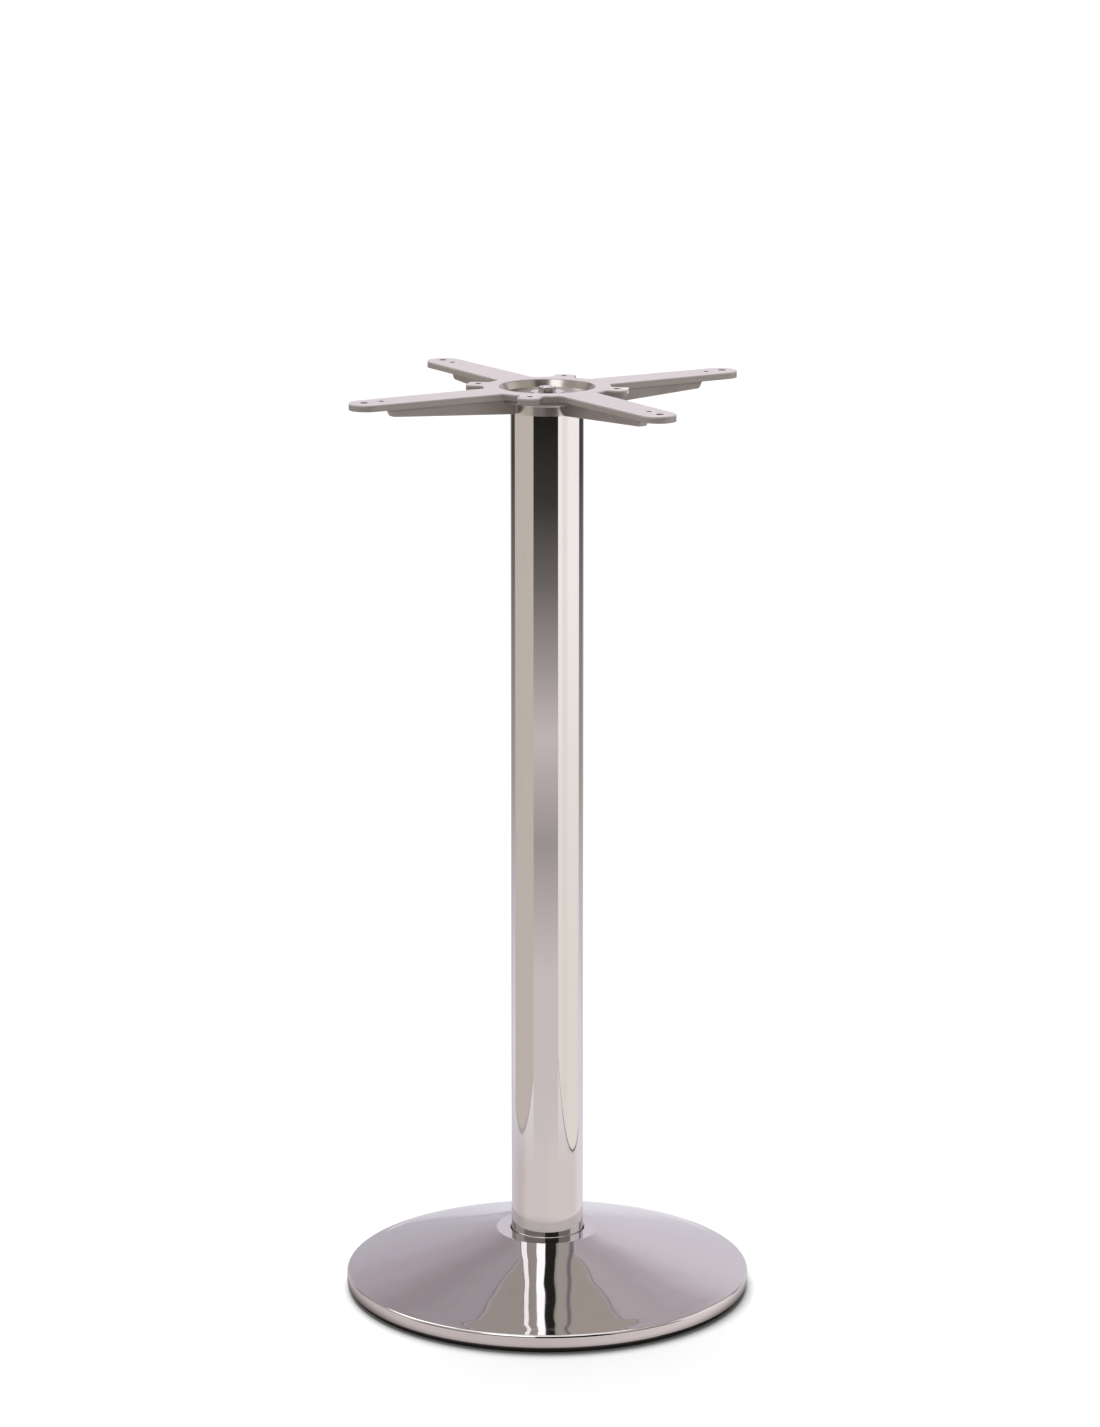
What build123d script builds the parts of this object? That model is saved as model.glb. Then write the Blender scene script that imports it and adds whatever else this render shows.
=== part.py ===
from build123d import *
import os
from math import cos, radians, tan

# Pedestal base for a bar-height table: a weighted foot under a chromed cover, a round chromed
# column, and a cast four-arm spider that carries the table top. One tie rod clamps the lot.
# Millimetres, +Z up, origin on the floor at the column's axis, arms along X and Y.

# Overall sizes
total_height = 1020.0
base_diameter = 450.0
column_diameter = 80.0
column_wall = 1.5

# Base cover, one pressed sheet: hole flanged down, flat land round it, cone, rim and an inward hem
floor_gap = 4.5
cover_sheet = 1.5
rim_height = 15.5
rim_edge_radius = 3.5
hem_radius = 3.0
hem_width = 12.0
cone_angle = 15.5
land_diameter = 115.0
land_edge_radius = 8.0
hole_roll_radius = 1.8
hole_flange = 4.0
column_clearance = 0.4

# Ballast casting: disc, hub that seats the column, spigot inside the tube, nut recess below
ballast_thickness = 12.0
ballast_edge_chamfer = 2.0
ballast_hub_height = 36.0
ballast_hub_wall = 7.0
ballast_hub_fillet = 10.0
ballast_spigot_height = 14.0
spigot_clearance = 0.25
spigot_chamfer = 1.5
nut_recess_depth = 20.0
nut_recess_clearance = 4.0

# Floor ring, rubber: under the cover's hem and the ballast, with a lip that centres both
ring_inset = 5.0
ring_bearing = 12.0
ring_lip_width = 6.4
ring_lip_height = 4.0
ring_lip_clearance = 0.3
ring_edge_radius = 1.5

# Tie rod, nuts and washers
rod_diameter = 10.0
rod_hole_clearance = 0.5
thread_clearance = 0.1
rod_chamfer = 1.0
rod_top_inset = 0.3
rod_tail = 3.5
nut_across_flats = 17.0
nut_turn = 7.0
nut_chamfer_angle = 30.0
top_nut_height = 5.0
bottom_nut_height = 8.0
washer_diameter = 36.0
washer_thickness = 2.5
washer_edge_radius = 0.4

# Spider casting: ring plate with arms and ears, a web under each arm, a dished hub
arm_count = 4
plate_thickness = 7.5
plate_edge_radius = 0.8
arm_root_width = 44.0
arm_tip_width = 38.0
tip_hole_circle = 452.0
tip_hole_diameter = 8.5
tip_margin = 16.0
inner_hole_circle = 410.0
inner_hole_diameter = 6.0
ring_outer_diameter = 138.0
ear_hole_circle = 154.0
ear_hole_diameter = 6.5
ear_margin = 12.0
ear_width = 24.0
ear_corner_radius = 5.0
notch_radius = 6.0
web_thickness = 11.0
web_draft = 3.0
web_root_fillet = 3.0
web_edge_radius = 1.5
web_hole_gap = 4.0
web_end_depth = 17.5
web_end_slant = 4.5
web_corner_radius = 3.5
hub_depth = 27.0
hub_overhang = 1.0
hub_fillet = 3.0
dish_diameter = 104.0
dish_floor_diameter = 96.0
dish_edge_chamfer = 0.8
dish_depth = 8.0
dish_wall = 5.0
dish_floor_thickness = 6.0
spider_spigot_height = 12.0
spigot_wall = 6.0
rod_boss_diameter = 26.0
rod_boss_height = 9.0

# Radii and heights that follow from the sizes above
base_radius = base_diameter / 2
column_radius = column_diameter / 2
spigot_radius = column_radius - column_wall - spigot_clearance
rod_radius = rod_diameter / 2
rod_hole_radius = rod_radius + rod_hole_clearance
thread_hole_radius = rod_radius + thread_clearance
washer_radius = washer_diameter / 2
rim_top = floor_gap + rim_height
cover_hole = column_radius + column_clearance
land_radius = land_diameter / 2
land_height = rim_top + (base_radius - land_radius) * tan(radians(cone_angle))
hem_inner = base_radius - hem_width
ballast_radius = hem_inner - ring_lip_width - 2 * ring_lip_clearance
column_foot = floor_gap + ballast_hub_height
column_top = total_height - hub_depth
nut_recess = floor_gap + nut_recess_depth
dish_floor = total_height - dish_depth
bottom_nut_seat = nut_recess - washer_thickness - bottom_nut_height
top_nut_seat = dish_floor + washer_thickness
plate_underside = total_height - plate_thickness
arm_reach = tip_hole_circle / 2 + tip_margin
ear_reach = ear_hole_circle / 2 + ear_margin
web_end = inner_hole_circle / 2 - inner_hole_diameter / 2 - web_hole_gap
hub_radius = column_radius + hub_overhang

os.makedirs("parts", exist_ok=True)

# Base cover: the sheet's outer line, from the hole over land and cone to the hem, given its thickness
with BuildPart() as base_cover:
    with BuildSketch(Plane.XZ):
        with BuildLine():
            FilletPolyline(
                (cover_hole, land_height - hole_flange),
                (cover_hole, land_height),
                (land_radius, land_height),
                (base_radius, rim_top),
                (base_radius, floor_gap),
                (hem_inner, floor_gap),
                radius=[hole_roll_radius, land_edge_radius, rim_edge_radius, hem_radius],
            )
            offset(amount=cover_sheet, side=Side.RIGHT)
        make_face()
    revolve(axis=Axis.Z)
base_cover.part.label = "base_cover"
export_step(base_cover.part, "parts/base_cover.step")

# Ballast: disc with a hub that the tube stands on, a spigot inside the tube and a recess for the nut
with BuildPart() as ballast_disc:
    disc_top = floor_gap + ballast_thickness
    hub_outer = column_radius + ballast_hub_wall
    spigot_top = column_foot + ballast_spigot_height
    recess_radius = washer_radius + nut_recess_clearance
    with BuildSketch(Plane.XZ):
        with BuildLine():
            Polyline(
                (recess_radius, floor_gap),
                (ballast_radius, floor_gap),
                (ballast_radius, disc_top - ballast_edge_chamfer),
                (ballast_radius - ballast_edge_chamfer, disc_top),
                (hub_outer + ballast_hub_fillet, disc_top),
            )
            RadiusArc(
                (hub_outer + ballast_hub_fillet, disc_top),
                (hub_outer, disc_top + ballast_hub_fillet),
                ballast_hub_fillet,
            )
            Polyline(
                (hub_outer, disc_top + ballast_hub_fillet),
                (hub_outer, column_foot),
                (spigot_radius, column_foot),
                (spigot_radius, spigot_top - spigot_chamfer),
                (spigot_radius - spigot_chamfer, spigot_top),
                (rod_hole_radius, spigot_top),
                (rod_hole_radius, nut_recess),
                (recess_radius, nut_recess),
                (recess_radius, floor_gap),
            )
        make_face()
    revolve(axis=Axis.Z)
ballast_disc.part.label = "ballast_disc"
export_step(ballast_disc.part, "parts/ballast_disc.step")

# Floor ring: flat band on the floor, its lip standing up between the ballast and the hem
with BuildPart() as floor_ring:
    ring_outer = base_radius - ring_inset
    ring_inner = ballast_radius - ring_bearing
    lip_outer = hem_inner - ring_lip_clearance
    lip_inner = ballast_radius + ring_lip_clearance
    lip_top = floor_gap + ring_lip_height
    with BuildSketch(Plane.XZ) as ring_section:
        with BuildLine():
            Polyline(
                (ring_inner, 0),
                (ring_outer, 0),
                (ring_outer, floor_gap),
                (lip_outer, floor_gap),
                (lip_outer, lip_top),
                (lip_inner, lip_top),
                (lip_inner, floor_gap),
                (ring_inner, floor_gap),
                close=True,
            )
        make_face()
        fillet(ring_section.vertices().group_by(Axis.Y)[0], radius=ring_edge_radius)
    revolve(axis=Axis.Z)
floor_ring.part.label = "floor_ring"
export_step(floor_ring.part, "parts/floor_ring.step")

# Column: plain tube from the ballast's hub to the underside of the spider
with BuildPart() as column_tube:
    with BuildSketch(Plane.XY.offset(column_foot)):
        Circle(column_radius)
        Circle(column_radius - column_wall, mode=Mode.SUBTRACT)
    extrude(amount=column_top - column_foot)
column_tube.part.label = "column_tube"
export_step(column_tube.part, "parts/column_tube.step")

# Tie rod: full height, chamfered at both ends
with BuildPart() as tie_rod:
    rod_foot = bottom_nut_seat - rod_tail
    with BuildSketch(Plane.XY.offset(rod_foot)):
        Circle(rod_radius)
    extrude(amount=total_height - rod_top_inset - rod_foot)
    chamfer(tie_rod.edges().filter_by(GeomType.CIRCLE), length=rod_chamfer)
tie_rod.part.label = "tie_rod"
export_step(tie_rod.part, "parts/tie_rod.step")

# Washers: one on the floor of the dish, one against the roof of the ballast's recess
for label, washer_seat in (("top_washer", dish_floor), ("bottom_washer", nut_recess - washer_thickness)):
    with BuildPart() as washer:
        with BuildSketch(Plane.XY.offset(washer_seat)):
            Circle(washer_radius)
            Circle(rod_hole_radius, mode=Mode.SUBTRACT)
        extrude(amount=washer_thickness)
        rim_circles = washer.edges().filter_by(GeomType.CIRCLE).sort_by(SortBy.RADIUS)[-2:]
        fillet(rim_circles, radius=washer_edge_radius)
    washer.part.label = label
    export_step(washer.part, f"parts/{label}.step")

# Nuts: a thin one on the top washer, a full one under the bottom washer, corners chamfered both ends
nut_stations = (("top_nut", top_nut_seat, top_nut_height), ("bottom_nut", bottom_nut_seat, bottom_nut_height))
for label, nut_seat, nut_height in nut_stations:
    with BuildPart() as nut:
        flat_radius = nut_across_flats / 2
        corner_radius = flat_radius / cos(radians(30))
        corner_drop = (corner_radius - flat_radius) * tan(radians(nut_chamfer_angle))
        with BuildSketch(Plane.XY.offset(nut_seat)):
            RegularPolygon(flat_radius, 6, major_radius=False, rotation=30 + nut_turn)
            Circle(thread_hole_radius, mode=Mode.SUBTRACT)
        extrude(amount=nut_height)
        with BuildSketch(Plane.XZ):
            with BuildLine():
                Polyline(
                    (0, nut_seat),
                    (flat_radius, nut_seat),
                    (corner_radius, nut_seat + corner_drop),
                    (corner_radius, nut_seat + nut_height - corner_drop),
                    (flat_radius, nut_seat + nut_height),
                    (0, nut_seat + nut_height),
                    close=True,
                )
            make_face()
        revolve(axis=Axis.Z, mode=Mode.INTERSECT)
    nut.part.label = label
    export_step(nut.part, f"parts/{label}.step")

# Pattern for the spider's webs: section with a fillet under the plate and draft, cut to its side view
with BuildPart() as web:
    web_depth = plate_underside - column_top
    root_half = web_thickness / 2
    foot_half = root_half - (web_depth - web_root_fillet) * tan(radians(web_draft))
    with BuildSketch(Plane.YZ) as web_section:
        with BuildLine():
            Polyline(
                (root_half, plate_underside - web_root_fillet),
                (foot_half, column_top),
                (0, column_top),
                (0, plate_underside),
                (root_half + web_root_fillet, plate_underside),
            )
            RadiusArc(
                (root_half, plate_underside - web_root_fillet),
                (root_half + web_root_fillet, plate_underside),
                web_root_fillet,
            )
        make_face()
        mirror(about=Plane.YZ)
    extrude(amount=web_end)
    with BuildSketch(Plane.XZ) as web_outline:
        with BuildLine():
            Polyline(
                (0, plate_underside),
                (web_end, plate_underside),
                (web_end - web_end_slant, total_height - web_end_depth),
                (hub_radius, column_top),
                (0, column_top),
                close=True,
            )
        make_face()
        fillet(web_outline.vertices().sort_by(Axis.X)[-2], radius=web_corner_radius)
    extrude(amount=arm_root_width / 2, both=True, mode=Mode.INTERSECT)
    lower_faces = web.faces().filter_by(lambda f: f.normal_at().Z < -0.5 and f.center().X > hub_radius)
    lower_faces = lower_faces.filter_by(lambda f: abs(f.normal_at().Y) < 0.1)
    lower_edges = lower_faces.edges().filter_by(lambda e: abs(e.tangent_at(0.5).Y) < 0.1)
    fillet(lower_edges, radius=web_edge_radius)

# Spider: one casting, flat on top
with BuildPart() as spider:
    arm_turn = 360 / arm_count
    ring_outer_radius = ring_outer_diameter / 2

    # Plan of the plate: ring, tapered arms with round tips, square-ended ears between the arms
    with BuildSketch(Plane.XY.offset(plate_underside)) as plan:
        Circle(ring_outer_radius)
        with PolarLocations(0, arm_count):
            Polygon(
                (0, -arm_root_width / 2),
                (arm_reach - arm_tip_width / 2, -arm_tip_width / 2),
                (arm_reach - arm_tip_width / 2, arm_tip_width / 2),
                (0, arm_root_width / 2),
                align=None,
            )
        with PolarLocations(arm_reach - arm_tip_width / 2, arm_count):
            Circle(arm_tip_width / 2)
        with PolarLocations(ear_reach / 2, arm_count, start_angle=arm_turn / 2):
            RectangleRounded(ear_reach, ear_width, ear_corner_radius)
        notches = plan.vertices().filter_by(lambda v: abs(Vector(v.X, v.Y).length - ring_outer_radius) < 0.01)
        fillet(notches, radius=notch_radius)
    extrude(amount=plate_thickness)
    fillet(spider.faces().sort_by(Axis.Z)[-1].edges(), radius=plate_edge_radius)

    # Web under each arm, deepest at the hub, stopping short of the inner hole
    with PolarLocations(0, arm_count):
        add(web.part)

    # Hub: bowl round the dish, collar on top of the tube, spigot inside it
    bowl_underside = dish_floor - dish_floor_thickness
    spigot_foot = column_top - spider_spigot_height
    with BuildSketch(Plane.XZ) as hub_section:
        with BuildLine():
            Polyline(
                (0, plate_underside),
                (dish_diameter / 2 + dish_wall, plate_underside),
                (dish_diameter / 2 + dish_wall, bowl_underside),
                (hub_radius, bowl_underside),
                (hub_radius, column_top),
                (spigot_radius, column_top),
                (spigot_radius, spigot_foot + spigot_chamfer),
                (spigot_radius - spigot_chamfer, spigot_foot),
                (0, spigot_foot),
                close=True,
            )
        make_face()
        bowl_corners = hub_section.vertices().filter_by(lambda v: abs(v.Y - bowl_underside) < 0.01)
        fillet(bowl_corners, radius=hub_fillet)
    revolve(axis=Axis.Z)

    # Dish on top and hollow below, leaving a floor with a boss round the rod's hole
    hollow_radius = spigot_radius - spigot_wall
    boss_foot = bowl_underside - rod_boss_height
    with BuildSketch(Plane.XZ):
        with BuildLine():
            Polyline(
                (0, total_height),
                (dish_diameter / 2 + dish_edge_chamfer, total_height),
                (dish_diameter / 2, total_height - dish_edge_chamfer),
                (dish_floor_diameter / 2, dish_floor),
                (0, dish_floor),
                close=True,
            )
        make_face()
        with BuildLine():
            Polyline(
                (0, spigot_foot),
                (hollow_radius, spigot_foot),
                (hollow_radius, bowl_underside),
                (rod_boss_diameter / 2, bowl_underside),
                (rod_boss_diameter / 2, boss_foot),
                (0, boss_foot),
                close=True,
            )
        make_face()
    revolve(axis=Axis.Z, mode=Mode.SUBTRACT)

    # Holes: rod, arm tips, inner arm holes, ears
    hole_rings = (
        (tip_hole_circle, tip_hole_diameter, 0),
        (inner_hole_circle, inner_hole_diameter, 0),
        (ear_hole_circle, ear_hole_diameter, arm_turn / 2),
    )
    with Locations((0, 0, total_height)):
        Hole(rod_hole_radius)
        for circle, diameter, start in hole_rings:
            with PolarLocations(circle / 2, arm_count, start_angle=start):
                Hole(diameter / 2)
spider.part.label = "spider"
export_step(spider.part, "parts/spider.step")
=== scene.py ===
import math

import bpy
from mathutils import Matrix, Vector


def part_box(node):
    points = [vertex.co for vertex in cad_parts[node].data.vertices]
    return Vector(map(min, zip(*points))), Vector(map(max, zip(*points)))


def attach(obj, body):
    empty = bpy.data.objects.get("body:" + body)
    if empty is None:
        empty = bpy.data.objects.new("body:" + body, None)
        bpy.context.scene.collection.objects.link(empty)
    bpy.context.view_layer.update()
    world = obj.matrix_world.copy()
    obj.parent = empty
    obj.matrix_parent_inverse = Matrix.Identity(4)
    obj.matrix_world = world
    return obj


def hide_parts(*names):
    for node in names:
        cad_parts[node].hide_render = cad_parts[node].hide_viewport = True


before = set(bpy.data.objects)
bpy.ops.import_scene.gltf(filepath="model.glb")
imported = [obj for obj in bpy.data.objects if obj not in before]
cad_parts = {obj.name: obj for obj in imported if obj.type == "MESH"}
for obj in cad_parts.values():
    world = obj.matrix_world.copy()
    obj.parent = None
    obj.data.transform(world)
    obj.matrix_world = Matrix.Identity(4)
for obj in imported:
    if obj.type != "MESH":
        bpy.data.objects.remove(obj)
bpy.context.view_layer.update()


# The floor ring is a moulded black rubber profile under the rim of the cover.
# It carries the whole stand, keeps the pressed rim off the floor, and has the
# dull skin and fine pitting of a compression moulding.
class Shade:
    """One socket of a finish. Python's operators on it add Math nodes."""

    def __init__(self, tree, socket=None):
        self.tree = tree
        self.socket = socket

    def node(self, kind, settings, sockets, output=0):
        """A node of that kind: its settings first, then its sockets' values or links."""
        made = self.tree.nodes.new("ShaderNode" + kind)
        for name, value in settings.items():
            if name == "stops":
                stops = made.color_ramp.elements
                for stop, (position, colour) in zip(stops, (value[0], value[-1])):
                    stop.position, stop.color = position, (*colour, 1.0)
                for position, colour in value[1:-1]:
                    stops.new(position).color = (*colour, 1.0)
            else:
                setattr(made, name, value)
        for name, value in sockets.items():
            socket = made.inputs[name]
            if isinstance(value, Shade):
                self.tree.links.new(value.socket, socket)
            else:
                socket.default_value = (*value, 1.0) if socket.type == "RGBA" else value
        return Shade(self.tree, made.outputs[output] if made.outputs else None)

    def maths(self, operation, *values):
        """A Math node on the values, or on this socket alone where none is given."""
        return self.node("Math", {"operation": operation}, dict(enumerate(values or [self])))

    def __add__(self, other):
        return self.maths("ADD", self, other)

    __radd__ = __add__

    def __sub__(self, other):
        return self.maths("SUBTRACT", self, other)

    def __rsub__(self, other):
        return self.maths("SUBTRACT", other, self)

    def __mul__(self, other):
        return self.maths("MULTIPLY", self, other)

    __rmul__ = __mul__

    def __truediv__(self, other):
        return self.maths("DIVIDE", self, other)

    def __rtruediv__(self, other):
        return self.maths("DIVIDE", other, self)

    def __pow__(self, other):
        return self.maths("POWER", self, other)

    def __rpow__(self, other):
        return self.maths("POWER", other, self)

    def __abs__(self):
        return self.maths("ABSOLUTE")

    def rise(self, start, end):
        """0 below start and 1 above end, with a smooth step between them."""
        return self.node("MapRange", {"interpolation_type": "SMOOTHSTEP"},
                         {"Value": self, "From Min": start, "From Max": end})

    def between(self, low, high, soft):
        """1 from low to high, fading over soft on either side."""
        return self.rise(low - soft, low + soft) * (1 - self.rise(high - soft, high + soft))

    def fade(self, first, second):
        """The first number where this mask is 0, the second where it is 1."""
        return first + self * (second - first)

    def mix(self, first, second):
        """The first colour where this mask is 0, the second where it is 1."""
        return self.node("Mix", {"data_type": "RGBA"}, {0: self, 6: first, 7: second}, output=2)

    def ramp(self, stops):
        """The colour at this value along the stops, each one a value and its colour."""
        return self.node("ValToRGB", {"stops": stops}, {"Fac": self})

    def split(self):
        """The three parts of a vector."""
        parts = self.node("SeparateXYZ", {}, {"Vector": self}).socket.node.outputs
        return [Shade(self.tree, part) for part in parts]

    def grain(self, density, detail=3.0, roughness=0.5, warp=0.0):
        """Noise over this position, with density features to the metre or one for each axis."""
        if not isinstance(density, tuple):
            density = (density,) * 3
        place = self.node("VectorMath", {"operation": "MULTIPLY"}, {0: self, 1: density})
        return self.node("TexNoise", {}, {"Vector": place, "Scale": 1.0, "Detail": detail,
                                          "Roughness": roughness, "Distortion": warp})

    def bump(self, depth):
        """A bump of that depth in metres from this height, as a normal."""
        return self.node("Bump", {}, {"Strength": 1.0, "Distance": depth, "Height": self})


def new_finish(name):
    """An empty material, and the position on the piece that its grain starts from."""
    material = bpy.data.materials.new(name)
    material.use_nodes = True
    material.node_tree.nodes.clear()
    return material, Shade(material.node_tree).node("TexCoord", {}, {}, output="Object")


def surface(place, sockets):
    """The finish's own shader, joined to the material's output."""
    shader = place.node("BsdfPrincipled", {}, sockets)
    place.node("OutputMaterial", {}, {"Surface": shader})


def dress(node, material):
    """Puts a finish on a CAD piece whose shape is right as it is."""
    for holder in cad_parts[node].material_slots:
        holder.material = material


rubber, place = new_finish("moulded_black_rubber")
pitting = place.grain(900.0, detail=2.0)
dust = place.grain((70.0, 70.0, 240.0), detail=5.0, roughness=0.65).rise(0.5, 0.78)
surface(place, {
    "Base Color": dust.mix((0.012, 0.012, 0.013), (0.045, 0.043, 0.041)),
    "Roughness": 0.55 + 0.25 * dust + 0.1 * pitting,
    "Normal": (pitting + 0.6 * dust).bump(0.00008),
})
dress("floor_ring", rubber)


# The ballast is a flat iron casting that fills the cover and gives the stand
# its weight. The sand mould leaves it grainy, its rim and hub are machined,
# and it has a thin coat of black paint against rust.
iron, place = new_finish("painted_cast_iron")
sand = place.grain(420.0, detail=6.0, roughness=0.7)
swell = place.grain(28.0, detail=3.0)
thin = place.grain(160.0, detail=4.0).rise(0.55, 0.75)
surface(place, {
    "Base Color": thin.mix((0.022, 0.022, 0.023), (0.060, 0.056, 0.053)),
    "Metallic": 0.15 * thin,
    "Roughness": 0.48 + 0.3 * sand - 0.12 * thin,
    "Normal": (sand + 1.5 * swell).bump(0.00035),
})
dress("ballast_disc", iron)


# The cover is one sheet of steel, pressed into a shallow cone with a turned
# hem and a flat land round the column, its hole flanged down, then polished
# and chromium plated. Pressing leaves the cone very slightly wavy.
def distance(x, y):
    """How far a place is from the point that x and y are measured from."""
    return (x * x + y * y) ** 0.5


chrome_tint = (0.655, 0.640, 0.650)
chrome_haze = (0.632, 0.617, 0.628)
chrome_edge = (0.780, 0.770, 0.780)
land_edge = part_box("column_tube")[1].x + 0.020
rim_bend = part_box("base_cover")[1].x - 0.006
cover_chrome, place = new_finish("chromium_on_pressed_steel")
x, y, z = place.split()
radius = distance(x, y)
pressing = place.grain(16.0, detail=1.0, roughness=0.4)
dents = place.grain((19.0, 21.0, 19.0), detail=0.0)
wiping = place.grain(45.0, detail=6.0, roughness=0.68, warp=0.6)
smear = wiping.rise(0.52, 0.72)
buffing = (radius * 2600.0 + 4.0 * pressing).maths("SINE")
cone = radius.rise(land_edge, land_edge + 0.030) * (1 - radius.rise(rim_bend - 0.014, rim_bend))
surface(place, {
    "Base Color": smear.mix(chrome_tint, chrome_haze),
    "Metallic": 1.0,
    "Specular Tint": chrome_edge,
    "Roughness": 0.035 + 0.025 * smear + 0.012 * wiping,
    "Normal": (cone * (pressing + 0.75 * dents) + 0.0002 * buffing).bump(0.00055),
})
dress("base_cover", cover_chrome)


# The column is a welded steel tube, ground and polished along its length and
# then chromium plated. It stands over the ballast's spigot and the spider's,
# and the tie rod inside it pulls the three together.
tube_chrome, place = new_finish("chromium_on_drawn_tube")
ripple = place.grain((9.0, 9.0, 2.2), detail=1.0)
drawn = place.grain((420.0, 420.0, 3.0), detail=3.0, roughness=0.6)
wiping = place.grain((60.0, 60.0, 18.0), detail=6.0, roughness=0.7, warp=0.5)
smear = wiping.rise(0.54, 0.74)
surface(place, {
    "Base Color": smear.mix(chrome_tint, chrome_haze),
    "Metallic": 1.0,
    "Specular Tint": chrome_edge,
    "Roughness": 0.03 + 0.025 * smear + 0.015 * drawn,
    "Normal": (ripple + 0.0018 * drawn).bump(0.00012),
})
dress("column_tube", tube_chrome)


# The tie rod runs up the middle of the column from the ballast to the spider.
# It is a plain steel rod with a coarse thread rolled on each end, zinc plated,
# and its ends are turned to a short chamfer.
def revolve(name, rings, steps):
    """A closed round piece from its rings, each one a list of points, bottom ring first."""
    points = [point for ring in rings for point in ring]
    faces = []
    for level in range(len(rings) - 1):
        for step in range(steps):
            here, after = level * steps + step, level * steps + (step + 1) % steps
            faces.append((here, after, after + steps, here + steps))
    faces.append(tuple(range(steps - 1, -1, -1)))
    last = (len(rings) - 1) * steps
    faces.append(tuple(range(last, last + steps)))
    mesh = bpy.data.meshes.new(name)
    mesh.from_pydata(points, [], faces)
    mesh.update()
    piece = bpy.data.objects.new(name, mesh)
    bpy.context.scene.collection.objects.link(piece)
    return piece


rod_low, rod_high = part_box("tie_rod")
rod_radius = (rod_high.x - rod_low.x) / 2
rod_chamfer = 0.001
rod_steps = 32
thread_pitch = 0.0015
thread_depth = 0.0007
thread_length = 0.060
thread_fade = 3 * thread_pitch
level_gap = thread_pitch / 8

levels = [rod_low.z + rod_chamfer * k / 5 for k in range(6)]
levels += [rod_low.z + rod_chamfer + level_gap * k
           for k in range(1, round(thread_length / level_gap))]
levels += [rod_high.z - (level - rod_low.z) for level in reversed(levels)]
rings = []
for level in levels:
    from_end = min(level - rod_low.z, rod_high.z - level)
    fade = min(1.0, max(0.0, (thread_length - from_end) / thread_fade))
    ring = []
    for step in range(rod_steps):
        turn = step / rod_steps
        phase = (level / thread_pitch - turn) % 1.0
        groove = min(1.0, max(0.0, 1.25 - abs(2 * phase - 1) * 2.5))
        reach = min(rod_radius - fade * thread_depth * groove, rod_radius - rod_chamfer + from_end)
        angle = 2 * math.pi * turn
        ring.append((reach * math.cos(angle), reach * math.sin(angle), level))
    rings.append(ring)
rod = revolve("tie_rod_threaded", rings, rod_steps)
rod.data.shade_smooth()
rod.data.set_sharp_from_angle(angle=math.radians(40))

zinc, place = new_finish("bright_zinc_plate")
plating = place.grain(260.0, detail=4.0, roughness=0.6)
bloom = place.grain(90.0, detail=3.0).rise(0.45, 0.7)
surface(place, {
    "Base Color": bloom.mix((0.655, 0.655, 0.655), (0.560, 0.556, 0.540)),
    "Metallic": 1.0,
    "Roughness": 0.16 + 0.14 * plating + 0.08 * bloom,
    "Normal": plating.bump(0.00004),
})
rod.data.materials.append(zinc)
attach(rod, "root")
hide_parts("tie_rod")


# Two hexagon nuts and two large washers close the stack, one pair in the
# recess of the ballast and one in the dish of the spider. They are cold
# formed steel, zinc plated, and turning the spanner has brightened them.
for fastener in ("top_washer", "top_nut", "bottom_washer", "bottom_nut"):
    dress(fastener, zinc)


# The spider is one aluminium casting: four tapered arms with a web under
# each, four drilled ears between them and a round hub over the column. Its
# top is ground flat on a belt, the dish is turned, the rest is as cast.
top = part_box("spider")[1].z
plate_low = top - 0.0075
dish_radius = 0.0525
dish_low = top - 0.0090
collar_radius = 0.0425
collar_high = top - 0.0165
knock_x, knock_y = 0.0640, -0.0600
aluminium, place = new_finish("ground_and_cast_aluminium")
x, y, z = place.split()
face_z = place.node("NewGeometry", {}, {}, output="Normal").split()[2]
radius = distance(x, y)
on_top = face_z.rise(0.90, 0.985) * z.rise(top - 0.0012, top - 0.0008)
in_dish = 1 - radius.rise(dish_radius - 0.0004, dish_radius + 0.0002)
in_dish = in_dish * z.rise(dish_low, dish_low + 0.0004)
on_collar = 1 - radius.rise(collar_radius, collar_radius + 0.0007)
on_collar = on_collar * (1 - z.rise(collar_high, collar_high + 0.0010))

# Belt marks run along each arm, turning marks run round the dish.
off_x, off_y = abs(x), abs(y)
along_x = (off_x - off_y).rise(-0.012, 0.012)
belt_x = place.grain((10.0, 1100.0, 60.0), detail=3.0, roughness=0.62)
belt_y = place.grain((1100.0, 10.0, 60.0), detail=3.0, roughness=0.62)
belt = along_x.fade(belt_y, belt_x)
turning = (radius * 9000.0).maths("SINE")
cast = place.grain(650.0, detail=5.0, roughness=0.7)
flow = place.grain((35.0, 35.0, 60.0), detail=4.0, roughness=0.6)

# The cast skin's own tone gets painted light on the plate's edge, painted shade in the crease
# under the plate and painted shade near the hub.
cast_skin_and_painted_light = flow.rise(0.42, 0.70).mix((0.325, 0.292, 0.274), (0.296, 0.264, 0.247))
painted_light_plate_edge = z.rise(plate_low - 0.0004, plate_low + 0.0004)
cast_skin_and_painted_light = painted_light_plate_edge.mix(cast_skin_and_painted_light, (0.362, 0.325, 0.312))
painted_shade_crease = z.between(plate_low - 0.0042, plate_low, 0.0012)
cast_skin_and_painted_light = (0.55 * painted_shade_crease).mix(cast_skin_and_painted_light, (0.190, 0.167, 0.158))
painted_shade_near_hub = 1 - radius.rise(0.050, 0.105)
cast_skin_and_painted_light = (0.60 * painted_shade_near_hub).mix(cast_skin_and_painted_light, (0.150, 0.130, 0.120))
cast_skin_and_painted_light = on_collar.mix(cast_skin_and_painted_light, (0.640, 0.615, 0.600))
ground = belt.rise(0.30, 0.72).mix((0.595, 0.551, 0.572), (0.670, 0.625, 0.648))
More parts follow.
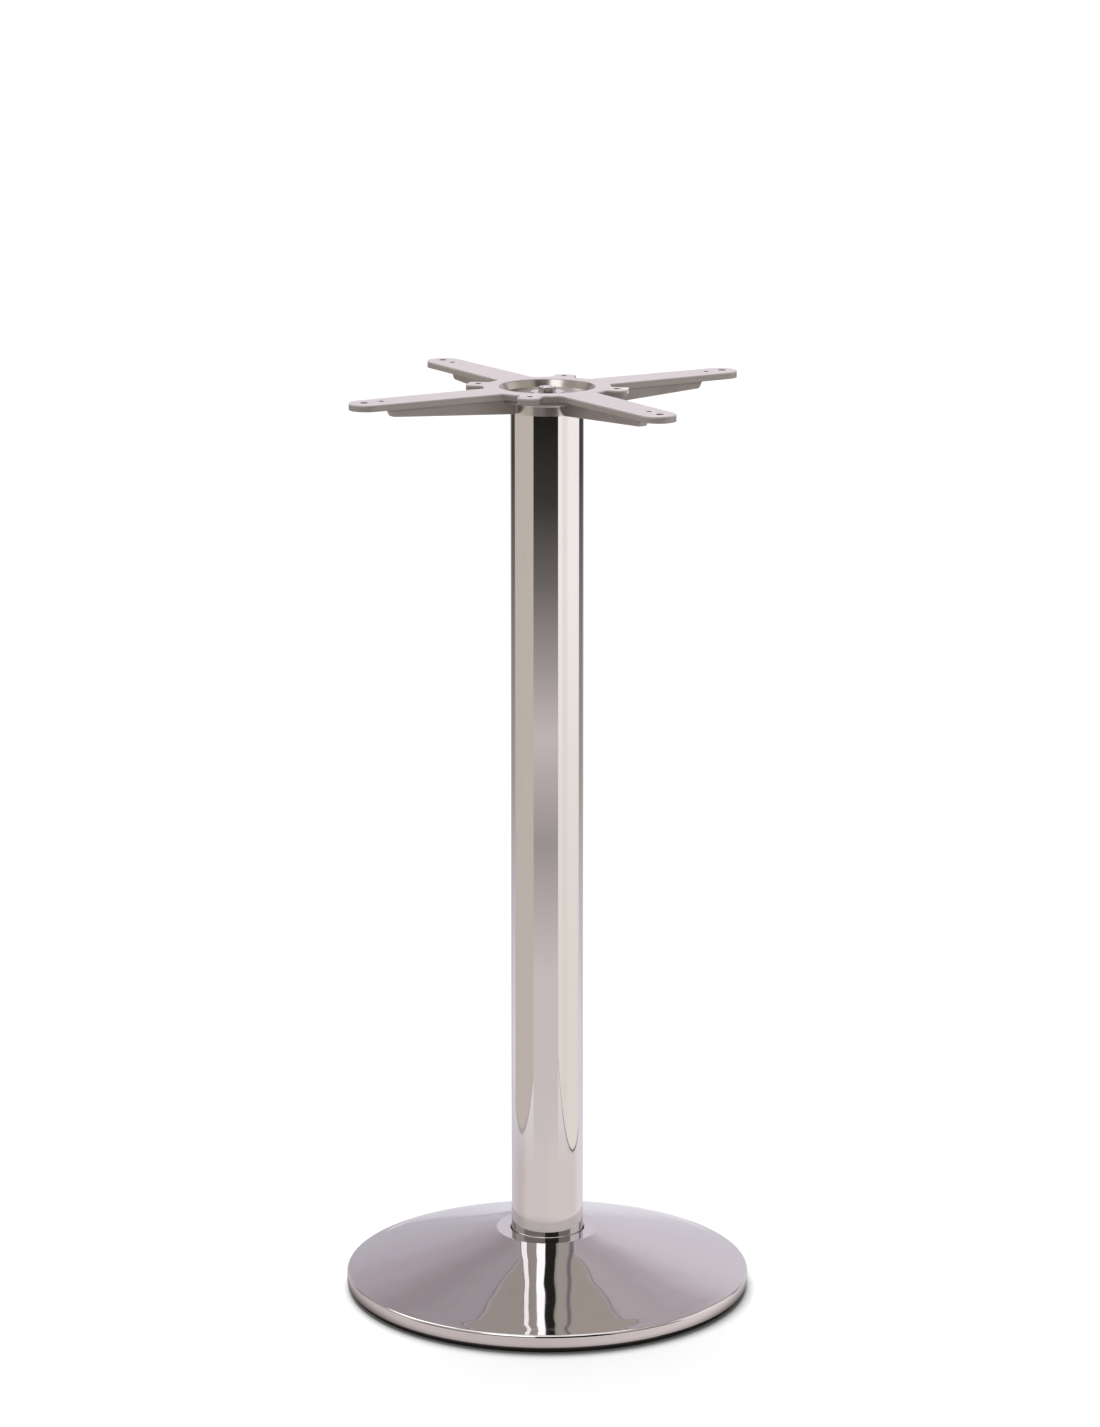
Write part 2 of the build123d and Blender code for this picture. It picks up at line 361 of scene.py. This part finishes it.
# The turned dish is painted darker as shade inside it, and its wall darker than its floor.
dish_tint_with_painted_shade = face_z.rise(0.3, 0.7).mix((0.425, 0.390, 0.368), (0.450, 0.430, 0.418))
tint = in_dish.mix(on_top.mix(cast_skin_and_painted_light, ground), dish_tint_with_painted_shade)
# A painted highlight runs along the top edge of the sides where their rounded edge catches the
# light; the bump rounds the same band.
rounded_edge_highlight = z.rise(top - 0.0030, top - 0.0002) * (1 - on_top) * (1 - in_dish)
tint = (0.7 * rounded_edge_highlight).mix(tint, (0.760, 0.728, 0.738))

# Two screw holes in each arm and one in each ear get painted shade on their walls, and one ear has
# a bright knock.
out_along = off_x.maths("MAXIMUM", off_x, off_y)
out_across = off_x.maths("MINIMUM", off_x, off_y)
painted_hole_shade = 0.0
for hole_along, hole_across, hole_radius in (
        (0.226, 0.0, 0.00425), (0.205, 0.0, 0.003), (0.05445, 0.05445, 0.00325)):
    off = distance(out_along - hole_along, out_across - hole_across)
    painted_hole_shade = painted_hole_shade + (1 - off.rise(hole_radius + 0.0001, hole_radius + 0.0004)) * (1 - on_top)
tint = painted_hole_shade.mix(tint, (0.170, 0.158, 0.152))
knock = distance(x - knock_x, y - knock_y) + 0.006 * (cast - 0.5)
knock = (1 - knock.rise(0.0050, 0.0062)) * z.rise(top - 0.006, top - 0.004)
tint = knock.mix(tint, (0.930, 0.920, 0.930))

rough = on_collar.fade(0.46 + 0.14 * cast, 0.20 + 0.06 * cast)
rough = on_top.fade(rough, 0.40 + 0.14 * belt)
rough = in_dish.fade(rough, 0.18 + 0.05 * belt)
rough = knock.fade(rough, 0.18)
unworked = (1 - on_top) * (1 - in_dish) * (1 - 0.9 * on_collar)
relief = 0.09 * unworked * (cast + 0.5 * flow) + 0.018 * on_top * belt
relief = relief + 0.002 * in_dish * turning + 0.6 * knock * cast - 0.8 * rounded_edge_highlight
surface(place, {
    "Base Color": tint,
    "Metallic": 0.55 + 0.13 * on_top + 0.45 * in_dish * (1 - on_top) + 0.45 * on_collar,
    "Roughness": rough,
    "Normal": relief.bump(0.001),
})
dress("spider", aluminium)


# The studio's floor is a wide sheet of white paper that takes the stand's soft
# shadow. Polished metal doesn't see it, and mirrors a floor of its own instead.
def sheet_of_points(name, rows, columns, point):
    """A grid mesh, its places worked out by point(row, column)."""
    points = [point(row / rows, column / columns)
              for row in range(rows + 1) for column in range(columns + 1)]
    wide = columns + 1
    corners = [row * wide + column for row in range(rows) for column in range(columns)]
    faces = [(corner, corner + 1, corner + wide + 1, corner + wide) for corner in corners]
    mesh = bpy.data.meshes.new(name)
    mesh.from_pydata(points, [], faces)
    mesh.update()
    made = bpy.data.objects.new(name, mesh)
    bpy.context.scene.collection.objects.link(made)
    return made


floor_half = 18.0
floor = sheet_of_points("studio_floor", 24, 24, lambda row, column: (
    floor_half * (2 * column - 1), floor_half * (2 * row - 1), -0.0002))
paper, place = new_finish("white_floor_paper")
surface(place, {
    "Base Color": place.grain(300.0, detail=3.0).mix((0.590, 0.590, 0.590), (0.610, 0.610, 0.610)),
    "Roughness": 0.9,
    "Specular IOR Level": 0.0,
})
floor.data.materials.append(paper)
floor.visible_glossy = False


# The mirrored floor is what the polished metal sees below it: bright paper
# round the foot, a front that darkens towards the camera, and the straight feet
# of two standing cards, a warm one on the left and a bright one on the right.
camera_turn = math.radians(-31.178)
room_reach = 7.5
right_foot = 0.520
left_foot = 0.590


def only_mirrored(made):
    """Leaves a card to the polished metal: neither the camera nor the floor sees it."""
    made.rotation_euler.z = camera_turn
    made.visible_camera = False
    made.visible_diffuse = False
    made.visible_transmission = False
    made.visible_shadow = False


def glow(material, place, colour, strength):
    """A card's own light, joined to the material's output."""
    light = place.node("Emission", {}, {"Color": colour, "Strength": strength})
    place.node("OutputMaterial", {}, {"Surface": light})
    material.cycles.emission_sampling = "NONE"


def compass(x, y):
    """Degrees round the stand, 0 towards the camera and rising to the right."""
    return x.maths("ARCTAN2", x, 0 - y) * (180 / math.pi)


mirrored_floor = sheet_of_points("mirrored_floor", 48, 96, lambda row, column: (
    room_reach * row * math.cos(2 * math.pi * column),
    room_reach * row * math.sin(2 * math.pi * column), -0.0006))
only_mirrored(mirrored_floor)
floor_light, place = new_finish("mirrored_floor_light")
x, y, z = place.split()
away = distance(x, y)
round_about = compass(x, y)

# The far floor, by metres from the stand: ahead, in the corners beside it, and behind.
front = (away / room_reach).ramp([(metres / room_reach, light) for metres, light in (
    (1.30, (0.86, 0.775, 0.765)),
    (2.05, (0.48, 0.43, 0.42)),
    (2.76, (0.80, 0.72, 0.71)),
    (3.30, (0.50, 0.45, 0.44)),
    (4.10, (0.21, 0.19, 0.18)),
    (5.00, (0.062, 0.056, 0.050)),
    (6.20, (0.020, 0.019, 0.015)),
)])
corner = (away / room_reach).ramp([(metres / room_reach, light) for metres, light in (
    (1.0, (1.05, 1.01, 1.04)),
    (2.4, (0.55, 0.50, 0.48)),
    (4.2, (0.26, 0.23, 0.22)),
    (5.6, (0.09, 0.08, 0.075)),
)])
tone = round_about.between(-44.0, 34.5, 0.7).mix(corner, front)
behind_tone = x.rise(-0.06, 0.06).mix((0.765, 0.725, 0.805), (1.00, 0.950, 1.020))
tone = abs(round_about).rise(148.0, 160.0).mix(tone, behind_tone)

# The floor near the foot, once round from behind on the left to behind on the right.
near_tone = (round_about / 360 + 0.5).ramp([
    (0.00, (0.93, 0.915, 0.99)),
    (0.10, (0.95, 0.92, 0.99)),
    (0.22, (0.78, 0.70, 0.68)),
    (0.34, (0.80, 0.71, 0.69)),
    (0.50, (0.76, 0.66, 0.65)),
    (0.66, (0.98, 0.885, 0.865)),
    (0.78, (1.06, 0.955, 0.945)),
    (0.90, (1.16, 1.12, 1.18)),
    (1.00, (0.93, 0.915, 0.99)),
])
foot_tone = round_about.rise(-20.0, 20.0).mix((0.89, 0.825, 0.805), (0.93, 0.850, 0.815))
past_foot = away.rise(0.270, 0.310) * round_about.between(-75.0, 100.0, 12.0)
near_tone = past_foot.mix(near_tone, foot_tone)
tone = away.rise(0.42, 0.85).mix(near_tone, tone)

# Each card's foot is a straight dark line, and the foot of the stand has a contact shadow.
right = round_about.between(34.5, 119.0, 0.7)
right_tone = away.rise(0.8, 4.6).mix((1.07, 1.03, 0.94), (1.31, 1.28, 1.225))
right_streak = 0.5 * round_about.between(48.0, 66.0, 7.0)
right_tone = right_streak.mix(right_tone, (1.00, 0.94, 0.86))
tone = (right * x.rise(right_foot - 0.002, right_foot + 0.002)).mix(tone, (0.13, 0.11, 0.10))
tone = (right * x.rise(right_foot + 0.008, right_foot + 0.012)).mix(tone, right_tone)
left = round_about.between(-122.0, -44.0, 0.7)
to_left = 0 - x
tone = (left * to_left.rise(left_foot - 0.005, left_foot + 0.005)).mix(tone, (0.56, 0.51, 0.47))
tone = (left * to_left.rise(left_foot + 0.015, left_foot + 0.025)).mix(tone, (0.750, 0.680, 0.610))
contact = (away + 0.020 * abs(round_about).rise(60.0, 115.0)).rise(0.228, 0.256)
tone = contact.mix((0.05, 0.04, 0.04), tone)
glow(floor_light, place, tone, 1.0)
mirrored_floor.data.materials.append(floor_light)


# The mirrored room is what the polished metal sees above the floor: a dark
# front, the two cards left and right of it, a pale back with a grey gap in its
# middle, and soft boxes overhead.
def dome_over(name, reach, rows, drop):
    """Half a sphere over the stand."""
    def point(row, column):
        rise, turn = math.pi / 2 * row, 2 * math.pi * column
        return (reach * math.cos(rise) * math.cos(turn),
                reach * math.cos(rise) * math.sin(turn),
                reach * math.sin(rise) - drop)
    return sheet_of_points(name, rows, 2 * rows, point)


mirrored_room = dome_over("mirrored_room", room_reach, 48, 0.0)
only_mirrored(mirrored_room)
room_light, place = new_finish("mirrored_room_light")
x, y, z = place.split()
round_about = compass(x, y)
lift = (z / room_reach).maths("ARCSINE") * (180 / math.pi)
on_right = x.rise(-0.5, 0.5)
back = abs(round_about).rise(118.0, 150.0)

# The back fades upwards from the floor, and its left half is darker than its right.
back_left = (lift / 90).ramp([
    (0.000, (0.765, 0.732, 0.796)),
    (0.090, (0.752, 0.712, 0.765)),
    (0.180, (0.704, 0.650, 0.707)),
    (0.270, (0.612, 0.543, 0.580)),
    (0.310, (0.585, 0.516, 0.552)),
    (0.400, (0.465, 0.405, 0.428)),
    (0.450, (0.437, 0.385, 0.409)),
    (0.510, (0.485, 0.437, 0.460)),
    (1.000, (0.300, 0.280, 0.285)),
])
back_right = (lift / 90).ramp([
    (0.000, (0.994, 0.953, 1.017)),
    (0.130, (0.977, 0.925, 0.992)),
    (0.220, (0.945, 0.890, 0.947)),
    (0.310, (0.875, 0.812, 0.860)),
    (0.400, (0.647, 0.575, 0.609)),
    (0.470, (0.571, 0.509, 0.536)),
    (0.520, (0.601, 0.534, 0.557)),
    (1.000, (0.320, 0.295, 0.300)),
])
back_tone = on_right.mix(back_left, back_right)

# The front, once round, is lightest where the two cards stand, and low down it is dark.
front_tone = (round_about / 360 + 0.5).ramp([
    (0.10, (0.34, 0.32, 0.33)),
    (0.23, (0.55, 0.51, 0.475)),
    (0.27, (0.64, 0.60, 0.555)),
    (0.35, (0.66, 0.62, 0.575)),
    (0.40, (0.50, 0.46, 0.42)),
    (0.60, (0.42, 0.39, 0.35)),
    (0.64, (0.73, 0.69, 0.61)),
    (0.77, (0.75, 0.70, 0.62)),
    (0.82, (0.38, 0.35, 0.335)),
    (0.90, (0.34, 0.32, 0.33)),
])
tone = back.mix(front_tone, back_tone)
low = 1 - lift.rise(38.0, 42.0)
tone = (low * (1 - back)).mix(tone, (0.34, 0.315, 0.29))
tone = (low * round_about.between(80.0, 126.0, 3.0)).mix(tone, (1.12, 1.06, 1.045))
tone = (low * round_about.between(-125.0, -80.0, 3.0)).mix(tone, (0.67, 0.61, 0.57))

# The gap in the back widens upwards, and a dark line with a pale inner edge frames it.
slant = abs(x / (abs(y) + 0.001))
sideways = slant - 0.04 * (lift - 49.0)
high = lift.rise(45.5, 46.5) * back
gap_tone = on_right.mix((0.455, 0.400, 0.370), (0.497, 0.430, 0.383))
tone = (high * (1 - sideways.rise(0.222, 0.228))).mix(tone, (0.560, 0.512, 0.515))
tone = (high * (1 - sideways.rise(0.192, 0.214))).mix(tone, gap_tone)
tone = (high * sideways.between(0.225, 0.235, 0.004)).mix(tone, (0.21, 0.175, 0.215))
middle = back * (1 - slant.rise(0.03, 0.14)) * (1 - lift.rise(26.0, 36.0))
tone = middle.mix(tone, (0.960, 0.915, 0.980))

# Ahead stands the unlit end of the room, and over everything hang the soft boxes.
unlit = round_about.between(-7.0, 37.0, 1.0) * (1 - back)
tone = unlit.mix(tone, (0.035, 0.033, 0.027))
overhead = (lift + 7.0 * round_about.between(-100.0, 36.0, 4.0)).rise(64.0, 67.0)
tone = overhead.mix(tone, (1.42, 1.40, 1.38))
box_front = round_about.between(-46.0, -9.0, 1.0) * lift.between(44.0, 64.0, 1.0)
tone = box_front.mix(tone, (2.5, 2.45, 2.4))
box_left = round_about.between(-142.0, -96.0, 1.5) * lift.between(41.0, 64.0, 1.0)
tone = box_left.mix(tone, (2.2, 2.15, 2.1))
glow(room_light, place, tone, 1.0)
mirrored_room.data.materials.append(room_light)


# Behind everything stands a white sweep that only the camera sees. A wide soft
# lamp over the back left, a weak one from the front left and a little light
# from all round fall on the floor and the spider.
sweep = dome_over("white_sweep", 20.0, 32, 0.5)
white, place = new_finish("white_sweep_light")
glow(white, place, (1.0, 1.0, 1.0), 1.15)
sweep.data.materials.append(white)
sweep.visible_diffuse = False
sweep.visible_glossy = False
sweep.visible_transmission = False
sweep.visible_shadow = False

for name, energy, spread, turns in (
        ("soft_lamp", 5.2, 48.0, (-22.0, -5.0, 0.0)),
        ("fill_lamp", 0.4, 60.0, (62.0, 0.0, -40.0))):
    light = bpy.data.lights.new(name, "SUN")
    light.energy = energy
    light.angle = math.radians(spread)
    lamp = bpy.data.objects.new(name, light)
    lamp.rotation_euler = [math.radians(turn) for turn in turns]
    lamp.rotation_euler.z += camera_turn
    lamp.visible_glossy = False
    bpy.context.scene.collection.objects.link(lamp)

world = bpy.data.worlds.new("white_studio")
world.use_nodes = True
all_round = world.node_tree.nodes["Background"]
all_round.inputs["Color"].default_value = (1.0, 1.0, 1.0, 1.0)
all_round.inputs["Strength"].default_value = 0.32
bpy.context.scene.world = world
bpy.context.scene.view_settings.view_transform = "Standard"


# The camera stands well back with a long lens, higher than the spider, and
# looks slightly down at the stand.
camera_distance = 4.8339
camera_height = 1.7615
camera_pan = math.radians(-0.036)
camera_tilt = math.radians(11.7975)
camera_data = bpy.data.cameras.new("camera")
camera_data.sensor_width = 36.0
camera_data.lens = 114.0
camera_data.shift_y = -0.0593
camera_data.clip_end = 100.0
camera = bpy.data.objects.new("camera", camera_data)
camera.location = (math.sin(camera_turn) * camera_distance,
                   -math.cos(camera_turn) * camera_distance, camera_height)
camera.rotation_euler = (math.pi / 2 - camera_tilt, 0.0, camera_turn + camera_pan)
bpy.context.scene.collection.objects.link(camera)
bpy.context.scene.camera = camera
